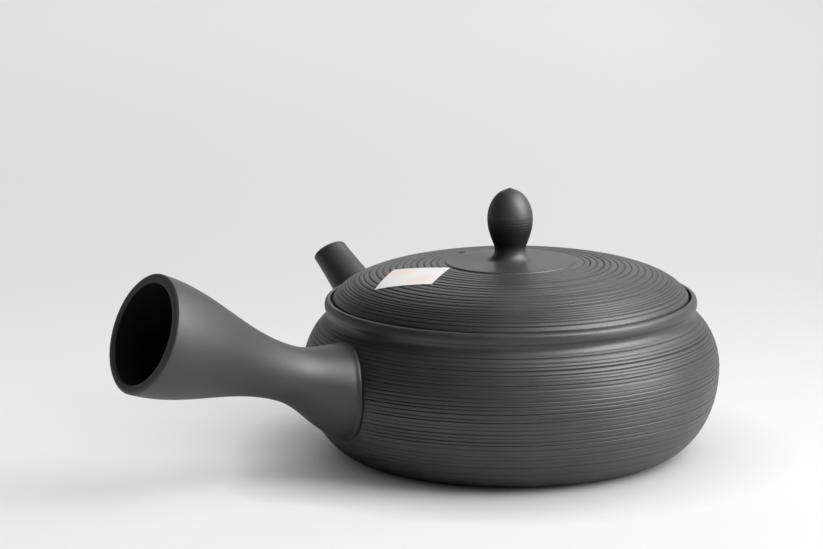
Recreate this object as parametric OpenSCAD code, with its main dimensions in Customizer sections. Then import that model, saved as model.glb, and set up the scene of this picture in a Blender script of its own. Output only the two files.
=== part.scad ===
// Flat teapot with a side handle, thrown in dark clay: a combed body, an inset domed lid with a
// bud knob, a hollow trumpet handle, a short spout with a pierced strainer behind it, and a paper
// label on the lid. Lengths are in millimetres and angles in degrees. +Z is up, the origin is the
// centre of the flat base, the handle points along -Y, and the spout stands clockwise from the
// handle, seen from above.

/* [Body] */
// Largest outside diameter of the body
body_d = 126; // [118:1:136]
// Diameter of the flat base
base_d = 90; // [80:1:98]
// Height of the widest part above the base
belly_h = 26; // [22:0.5:30]
// Rise of the shoulder from the widest part to the neck
shoulder_rise = 16.5; // [14.5:0.5:19]
// Width of the shoulder's curve, from the widest part inwards
shoulder_w = 18; // [15:0.5:22]
// Thickness of the body's wall
body_wall = 3; // [2.2:0.1:3.6]
// Thickness of the floor
floor_t = 3.5; // [2.5:0.1:5]

/* [Rim] */
// Outside diameter of the rim
rim_d = 112.4; // [109:0.2:115]
// Height of the rim above the neck
rim_h = 4.8; // [4.4:0.1:6]
// Depth of the rim's widest part below its top
rim_wide = 2; // [1.6:0.1:2.6]
// Overhang of the rim's widest part beyond the neck
rim_overhang = 1.3; // [0.6:0.1:1.8]
// Radius of the rim's upper edge
rim_edge = 1.4; // [0.8:0.1:1.6]
// Height of the hollow that eases the neck, above and below it
neck_cove = 1.8; // [0.6:0.1:2.2]
// Thickness of the rim beside the lid
rim_lip = 1.8; // [1.2:0.1:2.4]
// Depth of the lid's seat below the top of the rim
seat_depth = 2.4; // [1.6:0.1:3]
// Width of the ledge that carries the lid
ledge_w = 4.2; // [3:0.1:6]

/* [Combing] */
// Rise from one combed line on the body to the next
comb_pitch = 1.7; // [1.2:0.1:2.4]
// Distance from one combed ring on the lid to the next
ring_pitch = 1.9; // [1.4:0.1:2.6]
// Width of a combed line
comb_w = 0.6; // [0.4:0.1:1]
// Depth of a combed line
comb_depth = 0.3; // [0.1:0.05:0.5]
// Height of the first combed line above the base
comb_low = 4.5; // [3:0.5:8]
// Smooth band left under the neck's hollow
neck_band = 0.6; // [0.2:0.1:3]

/* [Lid] */
// Gap between the lid's edge and the rim
lid_gap = 0.4; // [0.3:0.05:0.8]
// Height of the lid's edge above its seat
lid_edge_h = 1.8; // [1.4:0.1:3]
// Rise of the dome above the lid's edge
lid_rise = 11.2; // [9:0.1:13]
// Fullness of the dome: 2 is an ellipse, more is flatter on top
lid_fullness = 2.8; // [2:0.1:3.2]
// How far the dome's curve would run on past the lid's edge
lid_turn_in = 1; // [0.5:0.1:4]
// Thickness of the dome
lid_t = 2.8; // [2.2:0.1:3.4]
// Depth of the locating flange below the seat
flange_depth = 4.5; // [3:0.5:8]
// Thickness of the flange
flange_t = 2.4; // [1.8:0.1:3]
// Gap between the flange and the mouth
flange_gap = 0.3; // [0.2:0.05:0.6]
// Diameter of the smooth disc round the knob
disc_d = 39; // [32:1:44]
// Step of the disc above the dome
disc_step = 0.4; // [0.2:0.1:0.8]
// Diameter of the steam vent
vent_d = 2.6; // [2:0.1:4]
// Distance of the vent outside the disc's edge
vent_out = 2.6; // [2.2:0.1:6]

/* [Knob] */
// Largest diameter of the knob
knob_d = 13.8; // [11:0.1:16]
// Height of the knob
knob_h = 21.9; // [18:0.1:26]
// Height of the knob's widest part above the lid
knob_belly_h = 12.3; // [10:0.1:14]
// Diameter of the knob's waist
knob_waist_d = 9.4; // [7:0.1:10.5]
// Height of the flare that spreads from the waist to the lid
knob_flare_h = 3.2; // [2:0.1:5]
// Diameter of the knob's foot
knob_foot_d = 15; // [13:0.5:20]

/* [Handle] */
// Length of the handle from the body's wall to its mouth
handle_len = 67; // [60:0.5:76]
// Rise of the handle's axis above level
handle_tilt = 21; // [12:1:28]
// Height at which the handle's axis meets the body
handle_z = 27.6; // [25:0.1:30]
// Outside diameter of the handle's mouth
handle_mouth_d = 34.8; // [30:0.2:40]
// Outside diameter of the handle's waist
handle_waist_d = 16.6; // [15:0.2:20]
// Distance of the waist from the body's wall
handle_waist_at = 18; // [15:0.5:24]
// Outside diameter of the handle's root, fully spread
handle_root_d = 28.2; // [24:0.2:31]
// Length of the spread from the waist to the full root
handle_spread = 24.6; // [20:0.2:28]
// Thickness of the handle's wall
handle_wall = 2.8; // [2:0.1:3.4]
// Radius of the two edges of the handle's lip
handle_edge = 0.8; // [0.4:0.1:1]

/* [Spout] */
// Turn from the handle to the spout, seen from above
spout_turn = 83; // [72:1:95]
// Length of the spout's axis outside the body
spout_len = 30.8; // [27:0.2:36]
// Rise of the spout's axis above level
spout_tilt = 38; // [32:1:44]
// Height at which the spout's axis meets the body
spout_z = 29.7; // [27:0.1:32]
// Outside diameter of the spout's tip
spout_tip_d = 10.6; // [9.4:0.2:12]
// Outside diameter of the spout where its axis meets the body
spout_root_d = 17.4; // [16:0.2:20]
// Thickness of the spout's wall
spout_wall = 1.6; // [1.3:0.1:2]
// Turn of the tip's cut from square towards level
spout_cut = 10; // [0:1:20]

/* [Strainer] */
// Step from the spout's inside down to the pour hole
pour_step = 0.9; // [0.6:0.1:2]
// Width of the strainer's rim round the pour hole
strainer_lap = 5; // [3:0.1:6]
// Bulge of the strainer into the body
strainer_bulge = 7; // [6:0.1:8]
// Thickness of the strainer
strainer_t = 1.8; // [1.4:0.1:2.4]
// Diameter of a strainer hole
strainer_hole_d = 1.2; // [1:0.1:1.4]
// Distance from one strainer hole to the next
strainer_pitch = 1.9; // [1.8:0.1:2.6]
// Plain margin at the strainer's rim
strainer_edge = 4; // [3:0.1:6]

/* [Label] */
// Side of the square paper label
label_side = 17.6; // [14:0.2:18]
// Thickness of the paper
label_t = 0.15; // [0.1:0.05:0.3]
// Distance of the label's nearest corner outside the disc's edge
label_out = 1; // [1:0.1:3]
// Turn of the label from the handle, counterclockwise seen from above
label_turn = -7; // [-30:1:30]

/* [Hidden] */
$fn = 96;

clay = [0.16, 0.16, 0.165];
dark_clay = [0.12, 0.12, 0.125];
paper = [0.93, 0.91, 0.9];

// How far a cutting shape runs past what it cuts
over = 2;
// Steps along a short and along a long curved stretch of an outline
steps = 12;
fine_steps = 30;

body_r = body_d / 2;
base_r = base_d / 2;
neck_z = belly_h + shoulder_rise;
rim_r = rim_d / 2;
neck_r = rim_r - rim_overhang;
rim_top = neck_z + rim_h;
wide_z = rim_top - rim_wide;
recess_r = rim_r - rim_lip;
seat_z = rim_top - seat_depth;
mouth_r = recess_r - ledge_w;

// The shoulder is part of an ellipse that leaves the belly upright and passes the neck
shoulder_r = body_r - shoulder_w;
shoulder_h = shoulder_rise / sqrt(1 - pow((neck_r - shoulder_r) / shoulder_w, 2));

// The rim's outer face is an arc, upright at its widest, that starts at the neck
face_r = (pow(wide_z - neck_z, 2) + pow(rim_overhang, 2)) / (2 * rim_overhang);
face_x = rim_r - face_r;
// The rim's upper edge is a smaller arc, inside the face's and level with the top
edge_z = rim_top - rim_edge;
edge_x = face_x + sqrt(pow(face_r - rim_edge, 2) - pow(edge_z - wide_z, 2));

comb_top = neck_z - neck_cove - neck_band;
body_lines = floor((comb_top - comb_low) / comb_pitch);

lid_r = recess_r - lid_gap;
lid_edge_z = seat_z + lid_edge_h;
dome_z = lid_edge_z + lid_rise;
dome_r = lid_r + lid_turn_in;
dome_h = lid_rise / (1 - pow(1 - pow(lid_r / dome_r, lid_fullness), 1 / lid_fullness));
disc_r = disc_d / 2;
flange_r = mouth_r - flange_gap;
flange_in = flange_r - flange_t;
lid_comb_in = disc_r + comb_w / 2;
// Plain margin at the lid's edge
lid_margin = ring_pitch;
lid_rings = floor((lid_r - lid_margin - lid_comb_in) / ring_pitch);

knob_r = knob_d / 2;
knob_foot_r = knob_foot_d / 2;
knob_waist_r = knob_waist_d / 2;
knob_z = dome(knob_foot_r) + disc_step;
// Pointedness of the bud above its widest part: 0.5 is an ellipse, more is sharper
bud_point = 0.57;

handle_r = handle_mouth_d / 2;
handle_waist_r = handle_waist_d / 2;
handle_root_r = handle_root_d / 2;
handle_lip_z = handle_len - handle_edge;

spout_tip_r = spout_tip_d / 2;
spout_root_r = spout_root_d / 2;
// How fast the spout spreads towards the body: 1 is a cone
spout_flare = 1.5;
// How far the spout's shape runs into the body before it is cut
spout_in = 1.5 * spout_root_r;

pour_r = spout_root_r - spout_wall - pour_step;
strainer_rim_r = pour_r + strainer_lap;
strainer_r = (pow(strainer_rim_r, 2) + pow(strainer_bulge, 2)) / (2 * strainer_bulge);
strainer_rings = floor((strainer_rim_r - strainer_edge) / strainer_pitch);
// Holes in the first ring, and how many more each further ring has
ring_holes = 6;

// The label lies with a corner towards the knob
label_skew = 45;
label_r = disc_r + label_out + label_side / sqrt(2);

// Outside radius of the body's wall at a height
function outer_r(z) = z < belly_h
  ? base_r + (body_r - base_r) * sqrt(1 - pow(1 - z / belly_h, 2))
  : shoulder_r + shoulder_w * sqrt(1 - pow((z - belly_h) / shoulder_h, 2));

// Inside radius of the body's wall at a height
function inner_r(z) = z < belly_h
  ? base_r + (body_r - base_r - body_wall) * sqrt(1 - pow((belly_h - z) / (belly_h - floor_t), 2))
  : shoulder_r + (shoulder_w - body_wall) * sqrt(1 - pow((z - belly_h) / (shoulder_h - body_wall), 2));

// Height at which the inner wall meets the mouth
function mouth_low() = belly_h + (shoulder_h - body_wall)
  * sqrt(1 - pow((mouth_r - shoulder_r) / (shoulder_w - body_wall), 2));

// Height of the lid's dome at a radius
function dome(r) = dome_z
  - dome_h * (1 - pow(1 - pow(r / dome_r, lid_fullness), 1 / lid_fullness));

// Radius of the handle's outside at a distance from the body's wall
function handle_out(t) = t < handle_waist_at
  ? handle_waist_r + (handle_root_r - handle_waist_r)
    * (1 - cos(180 * min(1, (handle_waist_at - t) / handle_spread))) / 2
  : handle_waist_r + (handle_r - handle_waist_r)
    * (1 - cos(180 * (t - handle_waist_at) / (handle_lip_z - handle_waist_at))) / 2;

// Radius of the spout's outside at a distance from the body's wall
function spout_out(t) = spout_tip_r
  + (spout_root_r - spout_tip_r) * pow(max(0, 1 - t / spout_len), spout_flare);

// The body's outside from the base to the top of the rim; without combing, each line is bridged
function wall_outline(combed) = concat(
  [for (i = [0:steps - 1])
    let (q = acos(1 - comb_low / belly_h) * i / steps)
    [base_r + (body_r - base_r) * sin(q), belly_h * (1 - cos(q))]],
  [for (i = [0:body_lines - 1])
    let (z = comb_low + comb_pitch * (i + 0.5))
    each [
      [outer_r(z - comb_w / 2), z - comb_w / 2],
      if (combed) [outer_r(z) - comb_depth, z],
      [outer_r(z + comb_w / 2), z + comb_w / 2]
    ]],
  [[outer_r(comb_top), comb_top]],
  cove_outline(),
  rim_outline());

// The hollow that eases the shoulder into the rim's outer face
function cove_outline() =
  let (
    low = [outer_r(neck_z - neck_cove), neck_z - neck_cove],
    corner = [neck_r, neck_z],
    rise = wide_z - neck_z - neck_cove,
    high = [face_x + sqrt(face_r * face_r - rise * rise), neck_z + neck_cove])
  [for (i = [0:steps])
    let (t = i / steps)
    low * (1 - t) * (1 - t) + corner * 2 * t * (1 - t) + high * t * t];

// The rim from its outer face over its upper edge to the lid's recess
function rim_outline() =
  let (
    face_low = -asin((wide_z - neck_z - neck_cove) / face_r),
    face_high = atan2(edge_z - wide_z, edge_x - face_x),
    edge_high = acos(max(0, recess_r - edge_x) / rim_edge))
  concat(
    [for (i = [1:steps])
      let (a = face_low + (face_high - face_low) * i / steps)
      [face_x + face_r * cos(a), wide_z + face_r * sin(a)]],
    [for (i = [1:steps])
      let (a = face_high + (edge_high - face_high) * i / steps)
      [edge_x + rim_edge * cos(a), edge_z + rim_edge * sin(a)]],
    [if (recess_r < edge_x) [recess_r, rim_top]]);

// The body's inside from the mouth down to the floor
function cavity_outline() =
  let (top = mouth_low())
  concat(
    [for (i = [0:steps])
      let (q = asin((top - belly_h) / (shoulder_h - body_wall)) * (1 - i / steps))
      [shoulder_r + (shoulder_w - body_wall) * cos(q), belly_h + (shoulder_h - body_wall) * sin(q)]],
    [for (i = [1:steps])
      let (q = 90 * i / steps)
      [base_r + (body_r - base_r - body_wall) * cos(q), belly_h - (belly_h - floor_t) * sin(q)]]);

// The lid's combed stretch between the disc and the margin
function lid_outline(combed) = [for (i = [0:lid_rings - 1])
  let (r = lid_comb_in + ring_pitch * (i + 0.5))
  each [
    [r - comb_w / 2, dome(r - comb_w / 2)],
    if (combed) [r, dome(r) - comb_depth],
    [r + comb_w / 2, dome(r + comb_w / 2)]
  ]];

// Stands a shape, drawn along +Z from the wall outwards, on the body's side
module on_wall(turn, height, tilt) {
  rotate([0, 0, turn])
    translate([0, -outer_r(height), height])
      rotate([90 - tilt, 0, 0])
        children();
}

// The body's outer form without combing, as a full solid
module body_form() {
  rotate_extrude()
    polygon(concat(wall_outline(false), [[0, rim_top], [0, 0]]));
}

// The room inside the body, as a full solid
module cavity_form() {
  rotate_extrude()
    polygon(concat([[0, mouth_low()]], cavity_outline(), [[0, floor_t]]));
}

// The thrown vessel, with the lid's ledge inside its rim and the pour hole behind the spout
module body() {
  color(clay)
    difference() {
      rotate_extrude()
        polygon(concat(
          wall_outline(true),
          [[recess_r, seat_z], [mouth_r, seat_z]],
          cavity_outline(),
          [[0, floor_t], [0, 0]]));
      on_wall(-spout_turn, spout_z, 0)
        translate([0, 0, -body_wall - over])
          cylinder(r = pour_r, h = body_wall + 2 * over);
    }
}

// The spout, a tapered tube cut to the belly at its root and slantwise at its tip
module spout() {
  tip_over = spout_tip_d;
  lengths = [for (i = [0:fine_steps]) -spout_in + (spout_in + spout_len) * i / fine_steps];
  color(clay)
    difference() {
      on_wall(-spout_turn, spout_z, spout_tilt)
        difference() {
          rotate_extrude()
            polygon(concat(
              [for (t = lengths) [spout_out(t), t]],
              [[spout_tip_r, spout_len + tip_over], [spout_tip_r - spout_wall, spout_len + tip_over]],
              [for (i = [fine_steps:-1:0]) [spout_out(lengths[i]) - spout_wall, lengths[i]]]));
          translate([0, 0, spout_len])
            rotate([-spout_cut, 0, 0])
              translate([-spout_tip_d, -spout_tip_d, 0])
                cube([2 * spout_tip_d, 2 * spout_tip_d, 2 * tip_over]);
        }
      body_form();
    }
}

// The strainer, a pierced clay dome cut to the inner wall over the pour hole
module strainer() {
  wall_in = outer_r(spout_z) - inner_r(spout_z);
  color(dark_clay)
    difference() {
      intersection() {
        on_wall(-spout_turn, spout_z, 0)
          translate([0, 0, strainer_r - strainer_bulge - wall_in])
            difference() {
              sphere(r = strainer_r);
              sphere(r = strainer_r - strainer_t);
            }
        cavity_form();
      }
      on_wall(-spout_turn, spout_z, 0)
        translate([0, 0, strainer_r - strainer_bulge - wall_in])
          strainer_holes();
    }
}

// Holes in rings round the dome's crown, each square to its surface
module strainer_holes() {
  for (ring = [0:strainer_rings]) {
    count = max(1, ring_holes * ring);
    lean = strainer_pitch * ring / strainer_r * 180 / PI;
    for (i = [0:count - 1])
      rotate([0, 0, 360 * i / count])
        rotate([180 - lean, 0, 0])
          translate([0, 0, strainer_r - strainer_t - over])
            cylinder(d = strainer_hole_d, h = strainer_t + 2 * over);
  }
}

// The handle, a hollow trumpet with a flat lip, cut to the belly at its root
module handle() {
  root_in = handle_root_r;
  lengths = [for (i = [0:fine_steps]) -root_in + (root_in + handle_lip_z) * i / fine_steps];
  color(clay)
    difference() {
      on_wall(0, handle_z, handle_tilt)
        rotate_extrude()
          polygon(concat(
            [for (t = lengths) [handle_out(t), t]],
            [for (i = [1:steps / 2])
              let (a = 180 * i / steps)
              [handle_r - handle_edge * (1 - cos(a)), handle_lip_z + handle_edge * sin(a)]],
            [for (i = [steps / 2:steps - 1])
              let (a = 180 * i / steps)
              [handle_r - handle_wall + handle_edge * (1 + cos(a)), handle_lip_z + handle_edge * sin(a)]],
            [for (i = [fine_steps:-1:0]) [handle_out(lengths[i]) - handle_wall, lengths[i]]]));
      body_form();
    }
}

// The lid, a combed dome with a smooth disc, a seat for the knob and a flange that drops into the
// mouth, with the steam vent on the spout's side
module lid() {
  color(clay)
    difference() {
      rotate_extrude()
        polygon(concat(
          [[0, knob_z]],
          [for (i = [0:steps])
            let (r = knob_foot_r + (disc_r - knob_foot_r) * i / steps)
            [r, dome(r) + disc_step]],
          [[disc_r, dome(disc_r) - comb_depth]],
          lid_outline(true),
          [for (i = [0:steps / 2])
            let (r = lid_r - lid_margin * (1 - 2 * i / steps))
            [r, dome(r)]],
          [[lid_r, seat_z], [flange_r, seat_z]],
          [[flange_r, seat_z - flange_depth], [flange_in, seat_z - flange_depth]],
          [for (i = [fine_steps:-1:0])
            let (r = flange_in * i / fine_steps)
            [r, dome(r) - lid_t]]));
      rotate([0, 0, -spout_turn])
        translate([0, -disc_r - vent_out, seat_z])
          cylinder(d = vent_d, h = dome_z - seat_z + over);
    }
}

// The knob, a pointed bud on a waist that flares into a flat foot
module knob() {
  waist_top = knob_flare_h + (knob_belly_h - knob_flare_h) / steps;
  color(clay)
    translate([0, 0, knob_z])
      rotate_extrude()
        polygon(concat(
          [[0, 0]],
          [for (i = [0:steps])
            let (q = 90 * i / steps)
            [knob_foot_r - (knob_foot_r - knob_waist_r) * sin(q), knob_flare_h * (1 - cos(q))]],
          [for (i = [0:steps - 1])
            let (q = 90 * i / steps, z = waist_top + (knob_belly_h - waist_top) * i / steps)
            [knob_waist_r + (knob_r - knob_waist_r) * sin(q), z]],
          [for (i = [0:fine_steps])
            let (q = 90 * i / fine_steps)
            [knob_r * pow(cos(q), 2 * bud_point), knob_belly_h + (knob_h - knob_belly_h) * sin(q)]]));
}

// The paper label, stuck over the crests of the combed lines
module paper_label() {
  crest = lid_outline(false);
  color(paper)
    intersection() {
      rotate_extrude()
        polygon(concat(
          crest,
          [for (i = [len(crest) - 1:-1:0]) crest[i] + [0, label_t]]));
      rotate([0, 0, label_turn])
        translate([0, -label_r, seat_z])
          rotate([0, 0, label_skew])
            linear_extrude(height = dome_z - seat_z + over)
              square(label_side, center = true);
    }
}

body();
spout();
strainer();
handle();
lid();
knob();
paper_label();
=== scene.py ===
import math

import bmesh
import bpy
import numpy as np
from mathutils import Matrix, Vector


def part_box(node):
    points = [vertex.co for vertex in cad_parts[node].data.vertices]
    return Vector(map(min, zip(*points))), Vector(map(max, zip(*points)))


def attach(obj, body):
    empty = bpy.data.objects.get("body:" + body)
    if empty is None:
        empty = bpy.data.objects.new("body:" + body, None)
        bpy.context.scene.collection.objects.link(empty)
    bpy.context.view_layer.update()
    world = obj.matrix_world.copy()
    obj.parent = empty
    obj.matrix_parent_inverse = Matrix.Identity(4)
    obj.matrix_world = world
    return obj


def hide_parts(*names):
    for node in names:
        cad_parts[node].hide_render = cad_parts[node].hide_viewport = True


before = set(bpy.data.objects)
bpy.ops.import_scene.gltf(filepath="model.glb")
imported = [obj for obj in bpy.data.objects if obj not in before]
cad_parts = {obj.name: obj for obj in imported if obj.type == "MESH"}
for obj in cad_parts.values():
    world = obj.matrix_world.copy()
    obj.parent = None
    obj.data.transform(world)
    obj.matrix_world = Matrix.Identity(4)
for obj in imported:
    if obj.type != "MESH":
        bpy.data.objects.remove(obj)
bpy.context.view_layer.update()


# Body: a flat pot thrown on the wheel in iron-black clay and fired without a glaze. The rim is drawn
# in over a hollow neck, with a ledge inside it for the lid, and a comb held against the turning wall
# has left uneven lines that fade and wander. A pour hole goes through the wall behind the spout.
mm = 0.001
belly_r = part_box("body")[1].x
rim_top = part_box("body")[1].z
base_r = 45 * mm
belly_h = 26 * mm
shoulder_w = 18 * mm
wall_t = 3 * mm
floor_t = 3.5 * mm
neck_z = rim_top - 4.8 * mm
rim_r = 56.2 * mm
neck_r = rim_r - 1.3 * mm
rim_wide_z = rim_top - 2 * mm
rim_edge = 1.4 * mm
neck_cove = 1.8 * mm
recess_r = rim_r - 1.8 * mm
seat_z = rim_top - 2.4 * mm
mouth_r = recess_r - 4.2 * mm
shoulder_r = belly_r - shoulder_w
shoulder_h = (neck_z - belly_h) / math.sqrt(1 - ((neck_r - shoulder_r) / shoulder_w) ** 2)
comb_low = 2.5 * mm
comb_fade = 11 * mm
# Heights on the wall, each with the number of the comb line there, counted down from the neck.
line_count = [(4 * mm, 29.5), (8.1 * mm, 27), (16 * mm, 22), (32.5 * mm, 8), (40.3 * mm, 0), (42 * mm, -1.7)]
comb_high = neck_z - 1.1 * mm
comb_stop = 0.4 * mm
comb_row = 0.1 * mm
round_count = 144

handle_height = 27.6 * mm
handle_tilt = math.radians(21)
handle_root_r = 14.1 * mm
wiped_r = 14 * mm
wiped = 2.4 * mm
wiped_fade = 0.5 * mm
spout_turn = math.radians(-83)
spout_height = 29.7 * mm
pour_r = 6.2 * mm
pour_in = 8 * mm
pour_out = 3 * mm


def wall_r(z):
    """Outside radius of the pot's wall at a height."""
    low = base_r + (belly_r - base_r) * np.sqrt(np.clip(1 - (1 - z / belly_h) ** 2, 0, 1))
    high = shoulder_r + shoulder_w * np.sqrt(np.clip(1 - ((z - belly_h) / shoulder_h) ** 2, 0, 1))
    return np.where(z < belly_h, low, high)


def arc(centre, radii, start, end, step):
    """Points along part of an ellipse, about a step apart, between two angles in degrees."""
    turn = math.radians(end - start)
    count = max(3, math.ceil(abs(turn) * max(radii) / step) + 1)
    angles = math.radians(start) + turn * np.linspace(0, 1, count)
    return np.stack([centre[0] + radii[0] * np.cos(angles), centre[1] + radii[1] * np.sin(angles)], 1)


def bend(start, corner, end, step):
    """Points along a soft bend from one point to another, drawn towards a corner."""
    start, corner, end = (np.array(p) for p in (start, corner, end))
    count = max(3, math.ceil(np.linalg.norm(end - start) / step) + 1)
    t = np.linspace(0, 1, count)[:, None]
    return start * (1 - t) ** 2 + corner * 2 * t * (1 - t) + end * t**2


def outline(*stretches):
    """Joins stretches of points into one outline, without the points that repeat."""
    points = np.concatenate([np.reshape(s, (-1, 2)) for s in stretches])
    apart = np.linalg.norm(np.diff(points, axis=0), axis=1) > 1e-7
    return points[np.append(True, apart)]


def mesh_piece(name, points, faces, **measures):
    """Makes a smooth mesh object whose points carry the named measures."""
    mesh = bpy.data.meshes.new(name)
    mesh.from_pydata(points.tolist(), [], faces)
    for key, values in measures.items():
        mesh.attributes.new(key, "FLOAT", "POINT").data.foreach_set("value", values.astype(np.float32))
    rounded = bmesh.new()
    rounded.from_mesh(mesh)
    bmesh.ops.recalc_face_normals(rounded, faces=rounded.faces)
    rounded.to_mesh(mesh)
    rounded.free()
    mesh.shade_smooth()
    piece = bpy.data.objects.new(name, mesh)
    bpy.context.scene.collection.objects.link(piece)
    return piece


def travelled(profile):
    """Distance along an outline at each of its points."""
    return np.append(0, np.cumsum(np.linalg.norm(np.diff(profile, axis=0), axis=1)))


def revolved(name, profile, combed=None, lines=None):
    """Turns an outline of radius and height, from axis to axis, into a closed round piece."""
    angles = np.linspace(0, 2 * math.pi, round_count, endpoint=False)
    rows = profile[1:-1]
    ring = np.stack([np.cos(angles), np.sin(angles)], 1)
    points = np.zeros((len(rows), round_count, 3))
    points[:, :, :2] = rows[:, None, :1] * ring[None]
    points[:, :, 2] = rows[:, 1:]
    poles = np.array([[0, 0, profile[0, 1]], [0, 0, profile[-1, 1]]])
    first, last = len(rows) * round_count, len(rows) * round_count + 1
    here = np.arange(round_count)
    after = (here + 1) % round_count
    faces = []
    for row in range(len(rows) - 1):
        low, high = row * round_count, (row + 1) * round_count
        faces += np.stack([low + here, low + after, high + after, high + here], 1).tolist()
    faces += [[first, b, a] for a, b in zip(here.tolist(), after.tolist())]
    top = (len(rows) - 1) * round_count
    faces += [[last, top + a, top + b] for a, b in zip(here.tolist(), after.tolist())]
    measures = {"along": travelled(profile), "combed": combed, "lines": lines}
    for key, values in measures.items():
        values = np.zeros(len(profile)) if values is None else values
        measures[key] = np.concatenate([np.repeat(values[1:-1], round_count), values[[0, -1]]])
    piece = mesh_piece(name, np.concatenate([points.reshape(-1, 3), poles]), faces, **measures)
    piece.data.set_sharp_from_angle(angle=math.radians(40))
    return piece


def add(tree, kind, settings=None, inputs=None):
    """Adds a node, sets its properties, and feeds its sockets from values or other sockets."""
    made = tree.nodes.new(kind)
    for key, value in (settings or {}).items():
        setattr(made, key, value)
    for key, value in (inputs or {}).items():
        if isinstance(value, bpy.types.NodeSocket):
            tree.links.new(value, made.inputs[key])
        else:
            made.inputs[key].default_value = value
    return made


def calc(tree, operation, *values):
    """Adds a math node and returns what it works out."""
    return add(tree, "ShaderNodeMath", {"operation": operation}, dict(enumerate(values))).outputs[0]


def ease(tree, value, low, high):
    """Adds a node that eases a value from 0 at low to 1 at high."""
    made = add(tree, "ShaderNodeMapRange", {"interpolation_type": "SMOOTHSTEP"},
               {"Value": value, "From Min": low, "From Max": high})
    return made.outputs["Result"]


def clay(name, gloss, streaks, painted_shade_scale=1.0):
    """Unglazed black clay: fine grain, faint turning streaks, cloudy satin; rougher, less shiny and painted
    darker as shade where the mask is set.
    """
    material = bpy.data.materials.new(name)
    material.use_nodes = True
    tree = material.node_tree
    shader = tree.nodes["Principled BSDF"]
    place = add(tree, "ShaderNodeTexCoord").outputs["Object"]
    along = add(tree, "ShaderNodeAttribute", {"attribute_name": "along"}).outputs["Fac"]
    groove = add(tree, "ShaderNodeAttribute", {"attribute_name": "groove"}).outputs["Fac"]
    cloud = add(tree, "ShaderNodeTexNoise", None, {"Vector": place, "Scale": 55, "Detail": 3}).outputs[0]
    grain = add(tree, "ShaderNodeTexNoise", None, {"Vector": place, "Scale": 2600, "Detail": 4}).outputs[0]
    turning = calc(tree, "MULTIPLY", along, 100)
    streak = add(tree, "ShaderNodeTexNoise", {"noise_dimensions": "4D"},
                 {"Vector": place, "W": turning, "Scale": 16, "Detail": 3}).outputs[0]
    tone = calc(tree, "ADD", calc(tree, "MULTIPLY", cloud, 0.5), calc(tree, "MULTIPLY", grain, 0.35))
    tone = calc(tree, "ADD", tone, calc(tree, "MULTIPLY", streak, 0.15))
    # Painted shade: the clay is darker where the mask is set, in the comb's grooves, inside the tubes and low
    # on the knob.
    tone = calc(tree, "SUBTRACT", tone, calc(tree, "MULTIPLY", groove, 0.4))
    ramp = add(tree, "ShaderNodeValToRGB", None, {"Fac": tone})
    ramp.color_ramp.elements[0].position = 0.1
    ramp.color_ramp.elements[0].color = (0.012 * painted_shade_scale, 0.012 * painted_shade_scale, 0.0124 * painted_shade_scale, 1)
    ramp.color_ramp.elements[1].position = 0.75
    ramp.color_ramp.elements[1].color = (0.05 * painted_shade_scale, 0.05 * painted_shade_scale, 0.051 * painted_shade_scale, 1)
    tree.links.new(ramp.outputs["Color"], shader.inputs["Base Color"])
    dull = calc(tree, "ADD", calc(tree, "MULTIPLY", cloud, 0.16), calc(tree, "MULTIPLY", groove, 0.12))
    dull = calc(tree, "ADD", dull, calc(tree, "MULTIPLY", grain, 0.12))
    tree.links.new(calc(tree, "ADD", dull, gloss), shader.inputs["Roughness"])
    height = calc(tree, "ADD", calc(tree, "MULTIPLY", grain, 0.35), calc(tree, "MULTIPLY", streak, streaks))
    bump = add(tree, "ShaderNodeBump", None, {"Height": height, "Strength": 0.8, "Distance": 0.06 * mm})
    tree.links.new(bump.outputs["Normal"], shader.inputs["Normal"])
    # The mask also lowers the shine there, which paints shade as well.
    shine = calc(tree, "MAXIMUM", calc(tree, "MULTIPLY_ADD", groove, -0.35, 0.6), 0.05)
    tree.links.new(shine, shader.inputs["Specular IOR Level"])
    return material


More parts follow.
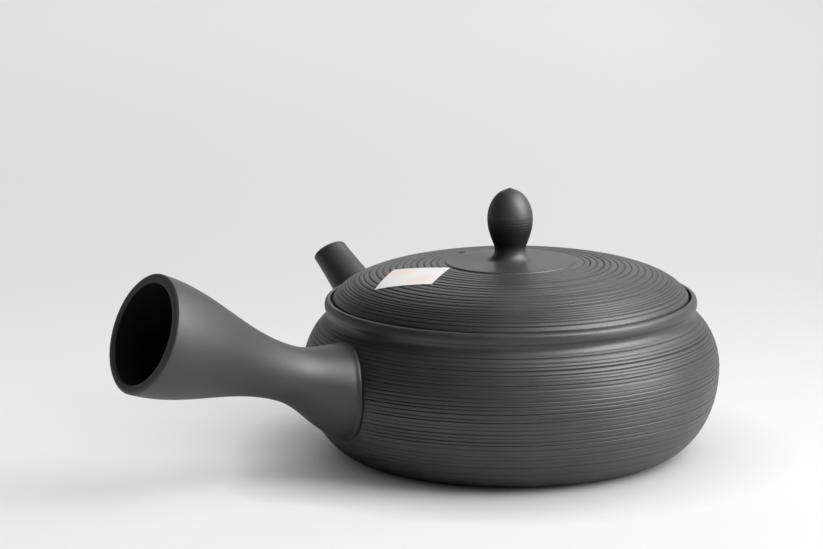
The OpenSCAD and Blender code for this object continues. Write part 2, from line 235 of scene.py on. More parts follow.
def combing():
    """Geometry nodes that score uneven lines across a piece wherever the comb has touched it."""
    tree = bpy.data.node_groups.new("combing", "GeometryNodeTree")
    sockets = {"Geometry": "Geometry", "Width": "Float", "Depth": "Float", "Wander": "Float",
               "Unevenness": "Float", "Swell": "Float", "Hairs": "Float", "Seed": "Float",
               "Clay": "Material"}
    for name, kind in sockets.items():
        tree.interface.new_socket(name, in_out="INPUT", socket_type="NodeSocket" + kind)
    tree.interface.new_socket("Geometry", in_out="OUTPUT", socket_type="NodeSocketGeometry")
    given = add(tree, "NodeGroupInput").outputs
    place = add(tree, "GeometryNodeInputPosition").outputs[0]

    def measure(name):
        return add(tree, "GeometryNodeInputNamedAttribute", {"data_type": "FLOAT"}, {"Name": name}).outputs[0]

    def drift(scale, seed):
        noise = add(tree, "ShaderNodeTexNoise", {"noise_dimensions": "4D"},
                    {"Vector": place, "W": seed, "Scale": scale, "Detail": 1})
        return noise.outputs[0]

    def chance(number, shift):
        seed = calc(tree, "ADD", calc(tree, "ADD", number, shift), given["Seed"])
        return add(tree, "ShaderNodeTexWhiteNoise", {"noise_dimensions": "1D"}, {"W": seed}).outputs[0]

    sway = calc(tree, "MULTIPLY", calc(tree, "SUBTRACT", drift(18, given["Seed"]), 0.5), given["Wander"])
    count = calc(tree, "ADD", calc(tree, "ADD", measure("lines"), sway), 0.5)
    spread = add(tree, "ShaderNodeTexNoise", {"noise_dimensions": "1D"},
                 {"W": calc(tree, "ADD", count, given["Seed"]), "Scale": 0.45, "Detail": 0}).outputs[0]
    spread = calc(tree, "MULTIPLY", calc(tree, "SUBTRACT", spread, 0.5), given["Unevenness"])
    count = calc(tree, "ADD", count, spread)
    line = calc(tree, "FLOOR", count)
    aside = calc(tree, "ABSOLUTE", calc(tree, "SUBTRACT", calc(tree, "FRACT", count), 0.5))
    aside = calc(tree, "MULTIPLY", aside, 2)
    width = calc(tree, "MULTIPLY_ADD", chance(line, 0.5), 0.22, given["Width"])
    press = calc(tree, "MULTIPLY_ADD", calc(tree, "POWER", chance(line, 0), 1.3), 0.75, 0.25)
    fade = ease(tree, drift(14, calc(tree, "MULTIPLY_ADD", line, 3.7, given["Seed"])), 0.1, 0.6)
    lost = calc(tree, "SUBTRACT", 1, calc(tree, "MULTIPLY", press, fade))
    press = calc(tree, "SUBTRACT", 1, calc(tree, "MULTIPLY", lost, given["Unevenness"]))
    press = calc(tree, "MULTIPLY", press, measure("combed"))
    cut = calc(tree, "SUBTRACT", 1, ease(tree, aside, 0, width))
    burr_aside = calc(tree, "ABSOLUTE", calc(tree, "SUBTRACT", calc(tree, "SUBTRACT", aside, width), 0.1))
    burr = calc(tree, "SUBTRACT", 1, ease(tree, burr_aside, 0, 0.14))
    relief = calc(tree, "MULTIPLY_ADD", burr, 0.22, calc(tree, "MULTIPLY", cut, -1))
    relief = calc(tree, "MULTIPLY", calc(tree, "MULTIPLY", relief, press), given["Depth"])
    hollow = calc(tree, "POWER", calc(tree, "SUBTRACT", 1, aside), 2)
    hollow = calc(tree, "MULTIPLY", calc(tree, "MULTIPLY", hollow, press), given["Swell"])
    relief = calc(tree, "SUBTRACT", relief, hollow)
    across = calc(tree, "MULTIPLY", measure("along"), 210)
    hair = add(tree, "ShaderNodeTexNoise", {"noise_dimensions": "4D"},
               {"Vector": place, "W": across, "Scale": 10, "Detail": 2}).outputs[0]
    hair = calc(tree, "MULTIPLY", calc(tree, "SUBTRACT", hair, 0.5), given["Hairs"])
    relief = calc(tree, "MULTIPLY_ADD", hair, calc(tree, "POWER", measure("combed"), 0.4), relief)
    shift = add(tree, "ShaderNodeVectorMath", {"operation": "SCALE"},
                {0: add(tree, "GeometryNodeInputNormal").outputs[0], "Scale": relief}).outputs[0]
    moved = add(tree, "GeometryNodeSetPosition", None, {"Geometry": given["Geometry"], "Offset": shift})
    # The mask of cut and pressed places goes to the clay, which paints shade into the grooves.
    kept = add(tree, "GeometryNodeStoreNamedAttribute", {"data_type": "FLOAT", "domain": "POINT"},
               {"Geometry": moved.outputs[0], "Name": "groove", "Value": calc(tree, "MULTIPLY", cut, press)})
    real = add(tree, "GeometryNodeRealizeInstances", None, {"Geometry": kept.outputs[0]})
    done = add(tree, "GeometryNodeSetMaterial", None,
               {"Geometry": real.outputs[0], "Material": given["Clay"]})
    add(tree, "NodeGroupOutput", None, {0: done.outputs[0]})
    return tree


def comb(piece, tree, **settings):
    """Puts the combing on a piece, with its inputs set by name."""
    modifier = piece.modifiers.new("combing", "NODES")
    modifier.node_group = tree
    for socket in tree.interface.items_tree:
        if socket.in_out == "INPUT" and socket.name in settings:
            modifier[socket.identifier] = settings[socket.name]


def bake(piece):
    """Makes a plain mesh of a piece and its modifiers."""
    graph = bpy.context.evaluated_depsgraph_get()
    mesh = bpy.data.meshes.new_from_object(piece.evaluated_get(graph), preserve_all_data_layers=True,
                                           depsgraph=graph)
    piece.modifiers.clear()
    piece.data = mesh


def drill(piece, radius, start, end):
    """Cuts a round hole through a piece from one point to another."""
    start, end = Vector(start), Vector(end)
    bit = bmesh.new()
    bmesh.ops.create_cone(bit, cap_ends=True, segments=48, radius1=radius, radius2=radius,
                          depth=(end - start).length)
    way = (end - start).to_track_quat("Z", "Y").to_matrix().to_4x4()
    bit.transform(Matrix.Translation((start + end) / 2) @ way)
    mesh = bpy.data.meshes.new("bit")
    bit.to_mesh(mesh)
    bit.free()
    cutter = bpy.data.objects.new("bit", mesh)
    bpy.context.scene.collection.objects.link(cutter)
    modifier = piece.modifiers.new("drill", "BOOLEAN")
    modifier.object = cutter
    modifier.solver = "EXACT"
    bake(piece)
    bpy.data.objects.remove(cutter)


def around(turn):
    """Gives the rotation by an angle about the pot's axis."""
    return Matrix.Rotation(turn, 3, "Z")


face_r = ((rim_wide_z - neck_z) ** 2 + (rim_r - neck_r) ** 2) / (2 * (rim_r - neck_r))
face_x = rim_r - face_r
edge_z = rim_top - rim_edge
edge_x = face_x + math.sqrt((face_r - rim_edge) ** 2 - (edge_z - rim_wide_z) ** 2)
face_low = -math.degrees(math.asin((rim_wide_z - neck_z - neck_cove) / face_r))
face_high = math.degrees(math.atan2(edge_z - rim_wide_z, edge_x - face_x))
shoulder_end = math.degrees(math.asin((neck_z - neck_cove - belly_h) / shoulder_h))
inner_end = math.degrees(math.acos((mouth_r - shoulder_r) / (shoulder_w - wall_t)))
shoulder = arc((shoulder_r, belly_h), (shoulder_w, shoulder_h), 0, shoulder_end, comb_row)
face = arc((face_x, rim_wide_z), (face_r, face_r), face_low, face_high, 0.3 * mm)
profile = outline(
    [(0, 0), (base_r / 2, 0)],
    arc((base_r, belly_h), (belly_r - base_r, belly_h), -90, -60, 0.4 * mm),
    arc((base_r, belly_h), (belly_r - base_r, belly_h), -60, 0, comb_row),
    shoulder,
    bend(shoulder[-1], (neck_r, neck_z), face[0], 0.2 * mm),
    face,
    arc((edge_x, edge_z), (rim_edge, rim_edge), face_high, 90, 0.15 * mm),
    bend((edge_x, rim_top), (recess_r, rim_top), (recess_r, rim_top - 0.4 * mm), 0.1 * mm),
    [(recess_r, seat_z), (mouth_r, seat_z)],
    arc((shoulder_r, belly_h), (shoulder_w - wall_t, shoulder_h - wall_t), inner_end, 0, 1.2 * mm),
    arc((base_r, belly_h), (belly_r - base_r - wall_t, belly_h - floor_t), 0, -90, 1.2 * mm),
    [(base_r / 2, floor_t), (0, floor_t)],
)
outside = np.arange(len(profile)) < np.argmax(profile[:, 1])
combed = np.clip(np.minimum((profile[:, 1] - comb_low) / comb_fade,
                            (comb_high - profile[:, 1]) / comb_stop), 0, 1) * outside
lines = np.interp(profile[:, 1], *np.transpose(line_count)) * outside
combed_clay = clay("combed_clay", 0.3, 0.6)
combing_tree = combing()
body = revolved("combed_body", profile, combed, lines)

# A strip below the handle was wiped smooth again after the handle had gone on.
points = np.array([v.co for v in body.data.vertices])
from_seat = points - np.array([0, -float(wall_r(handle_height)), handle_height])
handle_axis = np.array([0, -math.cos(handle_tilt), math.sin(handle_tilt)])
from_axis = np.linalg.norm(from_seat - np.outer(from_seat @ handle_axis, handle_axis), axis=1)
below = np.clip(-from_seat[:, 2] / handle_root_r, 0, 1)
strip = np.where(points[:, 1] < 0, wiped_r + wiped * below, 0)
touched = np.zeros(len(points), np.float32)
body.data.attributes["combed"].data.foreach_get("value", touched)
touched *= np.clip((from_axis - strip) / wiped_fade + 1, 0, 1)
body.data.attributes["combed"].data.foreach_set("value", touched.astype(np.float32))

out = around(spout_turn) @ Vector((0, -1, 0))
pour_at = out * float(wall_r(spout_height)) + Vector((0, 0, spout_height))
drill(body, pour_r, pour_at - out * pour_in, pour_at + out * pour_out)
comb(body, combing_tree, Width=0.26, Depth=0.22 * mm, Wander=0.5, Unevenness=0.85, Swell=0.1 * mm,
     Hairs=0.2 * mm, Seed=3.0, Clay=combed_clay)
bake(body)
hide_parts("body")
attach(body, "pot")


# Handle: a hollow trumpet thrown by itself, cut to the belly and luted on with slip, which leaves a
# thin ridge and a dark seam all round. Its mouth is open, with a flat lip that is bevelled outside.
handle_len = 67 * mm
handle_wall = 2.8 * mm
handle_mouth_r = 17.4 * mm
handle_waist_r = 8.3 * mm
handle_waist_at = 18 * mm
handle_spread = 24.6 * mm
handle_edge = 0.8 * mm
handle_row = 0.7 * mm
# How strongly the inside walls of the handle and spout are painted dark as shade.
inside_painted_shade = 2.5


def handle_r(t):
    """Outside radius of the handle at a distance from the wall."""
    root = np.clip((handle_waist_at - t) / handle_spread, 0, 1)
    mouth = np.clip((t - handle_waist_at) / (handle_len - handle_edge - handle_waist_at), 0, 1)
    swell = (handle_root_r - handle_waist_r) * (1 - np.cos(math.pi * root)) / 2
    return handle_waist_r + swell + (handle_mouth_r - handle_waist_r) * (1 - np.cos(math.pi * mouth)) / 2


def tube_on_wall(name, turn, height, tilt, radius, wall, end, row, seam, lip):
    """Makes a turned tube that stands on the pot's wall, cut to the wall at its root.

    The seam lists distances from the wall with rises above the tube; the lip lists depths in from the
    outside with drops below the end. Both are in millimetres.
    """
    count = 160
    angles = np.linspace(0, 2 * math.pi, count, endpoint=False)
    seat = np.array(around(turn) @ Vector((0, -float(wall_r(height)), height)))
    axis = np.array(around(turn) @ Vector((0, -math.cos(tilt), math.sin(tilt))))
    side = np.array(around(turn) @ Vector((1, 0, 0)))
    ring = np.outer(np.cos(angles), side) + np.outer(np.sin(angles), np.cross(axis, side))

    def at(t, r):
        return seat + t[:, None] * axis + r[:, None] * ring

    def root(inset):
        # Halves a stretch of the axis until it holds only the place where the tube meets the wall.
        low, high = np.full(count, -25 * mm), np.full(count, 15 * mm)
        for _ in range(40):
            middle = (low + high) / 2
            p = at(middle, radius(middle) - inset)
            inside = np.hypot(p[:, 0], p[:, 1]) < wall_r(p[:, 2])
            low, high = np.where(inside, middle, low), np.where(inside, high, middle)
        return high

    tip = end(np.sin(angles))
    outside, inside = root(0), root(wall)
    start, stop = outside + seam[-1][0] * mm, tip - lip[0][1] * mm
    shares = np.linspace(0, 1, math.ceil((stop - start).max() / row))[1:-1]
    rings = [(outside + s * mm, radius(outside + s * mm) + rise * mm) for s, rise in seam]
    rings += [(t, radius(t)) for t in (start + (stop - start) * share for share in shares)]
    rings += [(tip - drop * mm, radius(stop) - depth * mm) for depth, drop in lip]
    stop = tip - lip[-1][1] * mm
    rings += [(t, radius(t) - wall) for t in (stop + (inside - stop) * share for share in shares)]
    rings.append((inside, radius(inside) - wall))
    here = np.arange(count)
    after = (here + 1) % count
    faces = []
    for ring_at in range(len(rings)):
        low, high = ring_at * count, (ring_at + 1) % len(rings) * count
        faces += np.stack([low + here, low + after, high + after, high + here], 1).tolist()
    first_inside = len(rings) - len(shares) - 2
    # The inside walls are painted dark, as shade, through the clay's mask.
    within = np.repeat(np.arange(len(rings)) >= first_inside, count)
    piece = mesh_piece(name, np.concatenate([at(t, r) for t, r in rings]), faces,
                       along=np.concatenate([t for t, r in rings]), groove=within * inside_painted_shade)
    piece.data.set_sharp_from_angle(angle=math.radians(50))
    return piece


# The handle's clay is a darker copy of the smooth clay: painted shade.
painted_dark_handle_clay = clay("painted_dark_handle_clay", 0.36, 0.45, 0.8)
handle_seam = [(-0.3, -1), (0.28, -0.9), (0.32, -0.1), (0.42, 0.22), (0.65, 0.32), (1.1, 0.3), (1.4, 0.14),
               (1.7, 0.03), (1.9, -0.03), (2.2, -0.03), (2.8, 0)]
handle_lip = [(0, 0.8), (0.05, 0.68), (0.12, 0.6), (0.7, 0.07), (0.8, 0.02), (0.95, 0), (2.2, 0),
              (2.55, 0.1), (2.7, 0.3), (2.8, 0.8)]
handle = tube_on_wall("turned_handle", 0, handle_height, handle_tilt, handle_r, handle_wall,
                      lambda lean: np.full(len(lean), handle_len), handle_row, handle_seam, handle_lip)
handle.data.materials.append(painted_dark_handle_clay)
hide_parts("handle")
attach(handle, "pot")


# Spout: a short tapering tube thrown by itself, cut slantwise at its tip and luted on over the pour
# hole, a quarter turn from the handle so that a right hand pours with it.
spout_tilt = math.radians(38)
spout_len = 31.5 * mm
spout_wall = 1.6 * mm
spout_tip_r = 5.45 * mm
spout_root_r = 8.7 * mm
spout_flare = 1.5
spout_slant = math.tan(math.radians(10))
spout_row = 0.5 * mm


def spout_r(t):
    """Outside radius of the spout at a distance from the wall."""
    return spout_tip_r + (spout_root_r - spout_tip_r) * np.clip(1 - t / spout_len, 0, None) ** spout_flare


smooth_clay = clay("smooth_clay", 0.34, 0.45)
spout_seam = [(-0.3, -0.5), (0.12, -0.4), (0.15, -0.05), (0.25, 0.12), (0.7, 0.12), (1, 0.03), (1.6, 0)]
spout_lip = [(0, 0.5), (0.06, 0.3), (0.2, 0.12), (0.45, 0.02), (0.7, 0), (1, 0.02), (1.3, 0.1),
             (1.5, 0.28), (1.6, 0.5)]
spout = tube_on_wall("turned_spout", spout_turn, spout_height, spout_tilt, spout_r, spout_wall,
                     lambda lean: spout_len - spout_slant * spout_tip_r * lean, spout_row,
                     spout_seam, spout_lip)
spout.data.materials.append(smooth_clay)
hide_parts("spout")
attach(spout, "pot")


# Strainer: a thin clay dome pierced with rings of small holes, luted inside the wall over the pour
# hole to hold back the leaves. It keeps its own solid, in the same clay, a little drier.
strainer_clay = clay("strainer_clay", 0.5, 0.1)
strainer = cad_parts["strainer"]
strainer.data.materials.clear()
strainer.data.materials.append(strainer_clay)


# Lid: a shallow dome thrown upside down and trimmed, with a smooth disc round the knob, combed rings
# out to its edge and a flange below that drops into the mouth. It lies loose on the ledge.
lid_gap = 0.4 * mm
lid_r = recess_r - lid_gap
lid_edge_z = seat_z + 1.8 * mm
lid_rise = 11.2 * mm
lid_fullness = 2.8
lid_t = 2.8 * mm
dome_z = lid_edge_z + lid_rise
dome_r = lid_r + 1 * mm
dome_h = lid_rise / (1 - (1 - (lid_r / dome_r) ** lid_fullness) ** (1 / lid_fullness))
disc_r = 19.5 * mm
disc_step = 0.4 * mm
disc_round = 0.25 * mm
disc_foot_r = disc_r + 0.8 * mm
flange_r = mouth_r - 0.3 * mm
flange_in = flange_r - 2.4 * mm
flange_low = seat_z - 4.5 * mm
flange_round = 0.6 * mm
edge_inset = 0.4 * mm
edge_r = lid_r - edge_inset
edge_in = edge_r - 0.2 * mm
edge_round = 0.35 * mm
vent_r = 1.3 * mm
vent_out = disc_r + 2.6 * mm
# Radii on the lid, each with the number of the combed ring there or with how deep the rings are.
ring_count = [(20 * mm, 0), (42.8 * mm, 11), (47.56 * mm, 14), (52.58 * mm, 20), (53.3 * mm, 21),
              (54 * mm, 22)]
ring_depth = [(43 * mm, 1), (48 * mm, 0.9)]
ring_start = disc_r + 0.9 * mm
ring_start_fade = 1.2 * mm
ring_stop = edge_r - 0.3 * mm
ring_stop_fade = 0.4 * mm
close_rings_r = 47 * mm
close_row = 0.7 * comb_row


def dome(r):
    """Height of the lid's dome at a radius."""
    return dome_z - dome_h * (1 - (1 - (r / dome_r) ** lid_fullness) ** (1 / lid_fullness))


def over_dome(start, end, step, rise=0.0):
    """Points along the dome, or a little above it, from one radius to another."""
    r = np.linspace(start, end, math.ceil(abs(end - start) / step) + 1)
    return np.stack([r, dome(r) + rise], 1)


disc_low = dome(disc_r)
disc_top = disc_low + disc_step
profile = outline(
    over_dome(0, disc_r - disc_round, 0.6 * mm, disc_step),
    bend((disc_r - disc_round, disc_top), (disc_r, disc_top),
         (disc_r + 0.12 * mm, disc_low + disc_step / 2), 0.05 * mm),
    bend((disc_r + 0.24 * mm, disc_low), (disc_r + 0.35 * mm, disc_low - 0.1 * mm),
         (disc_foot_r, dome(disc_foot_r)), 0.1 * mm),
    over_dome(disc_foot_r, close_rings_r, comb_row),
    over_dome(close_rings_r, edge_in, close_row),
    bend((edge_in, dome(edge_in)), (edge_r, dome(edge_r)), (edge_r, dome(edge_r) - edge_round), 0.1 * mm),
    [(edge_r, seat_z + 0.2 * mm), (edge_in, seat_z), (flange_r, seat_z)],
    bend((flange_r, flange_low + flange_round), (flange_r, flange_low),
         (flange_r - flange_round, flange_low), 0.2 * mm),
    bend((flange_in + flange_round, flange_low), (flange_in, flange_low),
         (flange_in, flange_low + flange_round), 0.2 * mm),
    over_dome(flange_in, 0, 1.2 * mm, -lid_t),
)
on_top = np.arange(len(profile)) < np.argmax(profile[:, 0])
inset = np.minimum((profile[:, 0] - ring_start) / ring_start_fade,
                   (ring_stop - profile[:, 0]) / ring_stop_fade)
combed = np.where(on_top, np.clip(inset, 0, 1), 0) * np.interp(profile[:, 0], *np.transpose(ring_depth))
lines = np.interp(profile[:, 0], *np.transpose(ring_count))
lid = revolved("combed_lid", profile, combed, lines)
vent_at = around(spout_turn) @ Vector((0, -vent_out, 0))
drill(lid, vent_r, vent_at + Vector((0, 0, seat_z)), vent_at + Vector((0, 0, dome_z + 2 * mm)))
comb(lid, combing_tree, Width=0.24, Depth=0.17 * mm, Wander=0.1, Unevenness=0.35, Swell=0.15 * mm,
     Hairs=0.22 * mm, Seed=11.0, Clay=combed_clay)
bake(lid)
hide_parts("lid")
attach(lid, "lid")


# Knob: a bud turned by itself, left with fine turning lines below its widest part and a small point
# on top, and luted to the disc with a smoothed fillet.
knob_r = 6.9 * mm
knob_h = 21.9 * mm
knob_belly_h = 12.3 * mm
knob_waist_r = 4.7 * mm
knob_flare_h = 3.2 * mm
knob_foot_r = 7.5 * mm
knob_z = float(dome(knob_foot_r)) + disc_step
knob_trim_h = 13.3 * mm
knob_tip_r = 1.5 * mm
knob_tip_h = 0.35 * mm
knob_sink = 0.2 * mm
knob_rows = 90
ridge_pitch = 0.85 * mm
fine_pitch = 0.37 * mm
ridge_depth = 0.035 * mm
trim_depth = 0.05 * mm
waist_top = knob_flare_h + (knob_belly_h - knob_flare_h) / 12
rise = np.linspace(0, 1, knob_rows)
bud = np.linspace(0, math.pi / 2, knob_rows)
profile = outline(
    [(0, -knob_sink), (knob_foot_r + 0.8 * mm, -knob_sink)],
    arc((knob_foot_r, knob_flare_h), (knob_foot_r - knob_waist_r, knob_flare_h), -90, -180, 0.15 * mm),
    np.stack([knob_waist_r + (knob_r - knob_waist_r) * np.sin(math.pi / 2 * rise),
              waist_top + (knob_belly_h - waist_top) * rise], 1),
    np.stack([knob_r * np.cos(bud), knob_belly_h + (knob_h - knob_tip_h - knob_belly_h) * np.sin(bud)], 1),
)
profile[-1, 0] = 0
# The part below the trimming line was left as the tool turned it; the tip was pinched to a point.
height = profile[:, 1]
turned = np.clip((height - waist_top) / (3 * mm), 0, 1) * np.clip((knob_trim_h - height) / (0.2 * mm), 0, 1)
ridges = np.sin(height * 2 * math.pi / ridge_pitch) + 0.6 * np.sin(height * 2 * math.pi / fine_pitch + 1)
profile[:, 0] += turned * (ridge_depth * ridges - trim_depth)
tip = np.clip(1 - profile[:, 0] / knob_tip_r, 0, 1) * (height > knob_belly_h)
profile[:, 1] += knob_tip_h * tip
# Below the trimming line the knob is rougher and also painted darker as shade, most near the waist.
dull = np.clip((knob_trim_h - height) / (0.3 * mm), 0, 1) * np.clip(height / knob_flare_h - 0.6, 0, 1)
dull *= np.interp(height, [8 * mm, knob_trim_h], [1.4, 0.4])
knob = revolved("bud_knob", profile + np.array([0, knob_z]), dull)
knob.data.attributes["combed"].name = "groove"
knob.data.materials.append(smooth_clay)
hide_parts("knob")
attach(knob, "lid")


# Label: a small square of soft white paper with a faint pink wash, glued over the combed rings with
# one corner towards the knob. It is bare of words.
label_side = 17.6 * mm
label_t = 0.15 * mm
label_turn = math.radians(-7)
label_middle = disc_r + 1 * mm + label_side / math.sqrt(2)
label_cells = 40
glue_t = 0.06 * mm
wash_r = 5 * mm
wash_spots = [(-4.5 * mm, 4 * mm), (4.5 * mm, -3.5 * mm)]
across = np.linspace(-label_side / 2, label_side / 2, label_cells + 1)
u, v = (g.ravel() for g in np.meshgrid(across, across))
x = (u - v) / math.sqrt(2)
y = -label_middle + (u + v) / math.sqrt(2)
turn_cos, turn_sin = math.cos(label_turn), math.sin(label_turn)
x, y = x * turn_cos - y * turn_sin, x * turn_sin + y * turn_cos
lie = dome(np.hypot(x, y)) + glue_t
sheet = np.stack([np.append(x, x), np.append(y, y), np.append(lie, lie + label_t)], 1)
n = label_cells + 1
corner = (np.arange(label_cells)[:, None] * n + np.arange(label_cells)).ravel()
quads = np.stack([corner, corner + 1, corner + n + 1, corner + n], 1)
border = np.concatenate([
    np.arange(n - 1),
    np.arange(n - 1, n * n - 1, n),
    np.arange(n * n - 1, n * n - n, -1),
    np.arange(n * n - n, 0, -n),
])
onward = np.roll(border, -1)
edge = np.stack([border, onward, onward + n * n, border + n * n], 1)
faces = quads[:, ::-1].tolist() + (quads + n * n).tolist() + edge.tolist()
wash = np.max([np.exp(-((u - s) ** 2 + (v - t) ** 2) / wash_r**2) for s, t in wash_spots], axis=0)
label = mesh_piece("lid_label", sheet, faces, wash=np.append(wash, wash))
label.data.set_sharp_from_angle(angle=math.radians(40))

paper = bpy.data.materials.new("label_paper")
paper.use_nodes = True
tree = paper.node_tree
shader = tree.nodes["Principled BSDF"]
place = add(tree, "ShaderNodeTexCoord").outputs["Object"]
wash = add(tree, "ShaderNodeAttribute", {"attribute_name": "wash"}).outputs["Fac"]
fibre = add(tree, "ShaderNodeTexNoise", None, {"Vector": place, "Scale": 2200, "Detail": 5}).outputs[0]
ramp = add(tree, "ShaderNodeValToRGB", None, {"Fac": calc(tree, "MULTIPLY_ADD", fibre, 0.15, wash)})
ramp.color_ramp.elements[0].position = 0.3
ramp.color_ramp.elements[0].color = (0.73, 0.72, 0.715, 1)
ramp.color_ramp.elements[1].position = 1.0
ramp.color_ramp.elements[1].color = (0.76, 0.645, 0.6, 1)
tree.links.new(ramp.outputs["Color"], shader.inputs["Base Color"])
shader.inputs["Roughness"].default_value = 0.75
bump = add(tree, "ShaderNodeBump", None, {"Height": fibre, "Strength": 0.3, "Distance": 0.05 * mm})
tree.links.new(bump.outputs["Normal"], shader.inputs["Normal"])
label.data.materials.append(paper)
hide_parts("paper_label")
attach(label, "lid")


# Studio: a pale floor that runs on behind the pot and glows, as painted light, by an amount set across it,
# with a painted contact shadow, under a large soft light at the right, a low one below that, a higher one
# in front, one at the right behind and a weak one straight behind. Directions here are turns from the
# camera's right.
view_turn = math.radians(54.8)
to_right = 0
to_back = math.pi / 2
to_left = math.pi
to_front = -math.pi / 2
floor_reach = 9.0
floor_mesh = bpy.data.meshes.new("studio_floor")
ring = bmesh.new()
bmesh.ops.create_circle(ring, cap_ends=True, segments=96, radius=floor_reach)
ring.to_mesh(floor_mesh)
ring.free()
studio_floor = bpy.data.objects.new("studio_floor", floor_mesh)
bpy.context.scene.collection.objects.link(studio_floor)
pale = bpy.data.materials.new("pale_floor")
pale.use_nodes = True
tree = pale.node_tree
shader = tree.nodes["Principled BSDF"]
shader.inputs["Base Color"].default_value = (0.74, 0.74, 0.74, 1)
shader.inputs["Roughness"].default_value = 0.9
# Ambient occlusion paints the contact shadow into the floor's glow.
open_sky = add(tree, "ShaderNodeAmbientOcclusion", {"samples": 8}, {"Distance": 30 * mm}).outputs["AO"]


def across_floor(tree, turn, low, high):
    """Eases from 0 to 1 between two distances across the floor, in a direction as the camera sees it."""
    place = add(tree, "ShaderNodeTexCoord").outputs["Object"]
    way = around(view_turn + turn) @ Vector((1, 0, 0))
    distance = add(tree, "ShaderNodeVectorMath", {"operation": "DOT_PRODUCT"}, {0: place, 1: way})
    return ease(tree, distance.outputs["Value"], low, high)


# The glow, a painted light, is stronger far behind and close in front, and weaker under the large light.
far = calc(tree, "MULTIPLY", across_floor(tree, to_back, 0.3, 1.4), 0.2)
near = calc(tree, "MULTIPLY", across_floor(tree, to_front, -0.3, 0.05), 0.2)
near = calc(tree, "MULTIPLY", near, calc(tree, "SUBTRACT", 1, across_floor(tree, to_front, 0.2, 0.6)))
near = calc(tree, "MULTIPLY", near, calc(tree, "SUBTRACT", 1, across_floor(tree, to_right, 0.2, 0.6)))
near_right = calc(tree, "MULTIPLY", across_floor(tree, to_right, -0.1, 0.16),
                  calc(tree, "MULTIPLY", near, 0.7))
level = calc(tree, "ADD", calc(tree, "ADD", calc(tree, "ADD", far, near), near_right), 0.76)
level = calc(tree, "MULTIPLY_ADD", across_floor(tree, to_right, 0.05, 0.4), -0.23, level)
under_lamp = calc(tree, "MULTIPLY", across_floor(tree, to_right, 0.1, 0.36),
                  across_floor(tree, to_front, -0.6, -0.15))
level = calc(tree, "MULTIPLY_ADD", under_lamp, -0.45, level)

# Painted shade: in reflections the floor is darker in front and at the left. The painted contact shadow is
# deeper on the pot's shaded side, and deepest in reflections.
ray = add(tree, "ShaderNodeLightPath").outputs
front = calc(tree, "MAXIMUM", across_floor(tree, to_front, 0.1, 0.22),
             across_floor(tree, to_left, 0.12, 0.26))
front = calc(tree, "MULTIPLY", front, ray["Is Glossy Ray"])
level = calc(tree, "MULTIPLY", level, calc(tree, "MULTIPLY_ADD", front, -0.8, 1))
shaded = calc(tree, "SUBTRACT", 1, across_floor(tree, to_right, -0.02, 0.07))
mirrored = calc(tree, "MULTIPLY_ADD", ray["Is Glossy Ray"], 1.5, 0.9)
closeness = calc(tree, "MULTIPLY_ADD", shaded, mirrored, 0.6)
glow = add(tree, "ShaderNodeEmission", None,
           {"Color": (0.86, 0.86, 0.86, 1),
            "Strength": calc(tree, "MULTIPLY", calc(tree, "POWER", open_sky, closeness), level)})
seen = calc(tree, "MAXIMUM", ray["Is Camera Ray"], ray["Is Glossy Ray"])
seen = calc(tree, "MAXIMUM", seen, ray["Is Transmission Ray"])
blend = add(tree, "ShaderNodeMixShader", None,
            {0: calc(tree, "MULTIPLY", seen, 0.65), 1: shader.outputs[0], 2: glow.outputs[0]})
tree.links.new(blend.outputs[0], tree.nodes["Material Output"].inputs["Surface"])
floor_mesh.materials.append(pale)

pot_middle = Vector((0, -20 * mm, 40 * mm))
lamp_away = 2.4


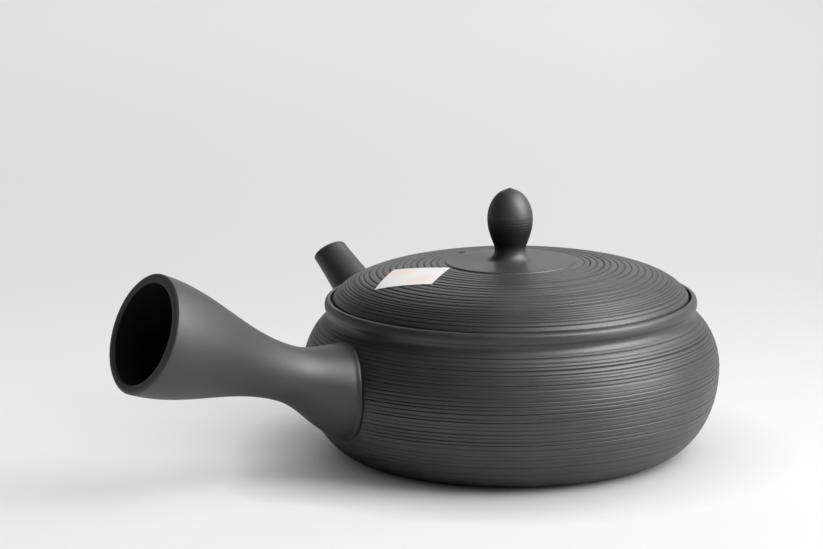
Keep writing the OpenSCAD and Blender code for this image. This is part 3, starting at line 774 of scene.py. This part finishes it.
def soft_light(name, turn, rise, size, power):
    """Adds a square lamp that faces the pot, at degrees behind the camera's right and above the floor."""
    lamp = bpy.data.lights.new(name, "AREA")
    lamp.shape = "SQUARE"
    lamp.size = size
    lamp.energy = power
    made = bpy.data.objects.new(name, lamp)
    bpy.context.scene.collection.objects.link(made)
    raised = Matrix.Rotation(-math.radians(rise), 3, "Y") @ Vector((1, 0, 0))
    way = around(view_turn + math.radians(turn)) @ raised
    made.location = pot_middle + way * lamp_away
    made.rotation_euler = way.to_track_quat("Z", "Y").to_euler()


soft_light("right_box", -15, 37, 1.6, 78)
soft_light("high_front", -36, 57, 1.3, 21)
soft_light("low_right", -15, 14, 1.7, 36)
soft_light("right_back", 35, 42, 1.3, 18)
soft_light("behind", 90, 30, 1.4, 7)

# A pale backdrop behind the floor, seen by the camera and in reflections, that fades upwards.
world = bpy.data.worlds.new("studio")
bpy.context.scene.world = world
world.use_nodes = True
tree = world.node_tree
place = add(tree, "ShaderNodeTexCoord").outputs["Object"]
ray = add(tree, "ShaderNodeLightPath").outputs
seen = calc(tree, "MAXIMUM", ray["Is Camera Ray"], ray["Is Glossy Ray"])
seen = calc(tree, "MAXIMUM", seen, ray["Is Transmission Ray"])
height = add(tree, "ShaderNodeSeparateXYZ", None, {0: place}).outputs["Z"]
backdrop = calc(tree, "MULTIPLY", across_floor(tree, math.radians(100), 0.1, 0.6), seen)
backdrop = calc(tree, "MULTIPLY", backdrop, calc(tree, "SUBTRACT", 0.7, ease(tree, height, 0.15, 0.6)))
backdrop = calc(tree, "MAXIMUM", backdrop, 0.02)
tree.links.new(backdrop, tree.nodes["Background"].inputs["Strength"])
tree.nodes["Background"].inputs["Color"].default_value = (0.8, 0.8, 0.8, 1)
bpy.context.scene.view_settings.view_transform = "Standard"


# Camera: a long lens a little above the pot, at the photograph's place and angle, tilted a hair.
camera_back = 850 * mm
camera_height = 221.4 * mm
camera_yaw = math.radians(2.01)
camera_pitch = math.radians(11.15)
camera_roll = math.radians(-0.63)
lens = bpy.data.cameras.new("camera")
lens.sensor_width = 36
lens.lens = 125.53
camera = bpy.data.objects.new("camera", lens)
bpy.context.scene.collection.objects.link(camera)
camera.matrix_world = (
    Matrix.Translation(around(view_turn) @ Vector((0, -camera_back, camera_height)))
    @ Matrix.Rotation(view_turn + camera_yaw, 4, "Z")
    @ Matrix.Rotation(math.pi / 2 - camera_pitch, 4, "X")
    @ Matrix.Rotation(camera_roll, 4, "Z")
)
bpy.context.scene.camera = camera
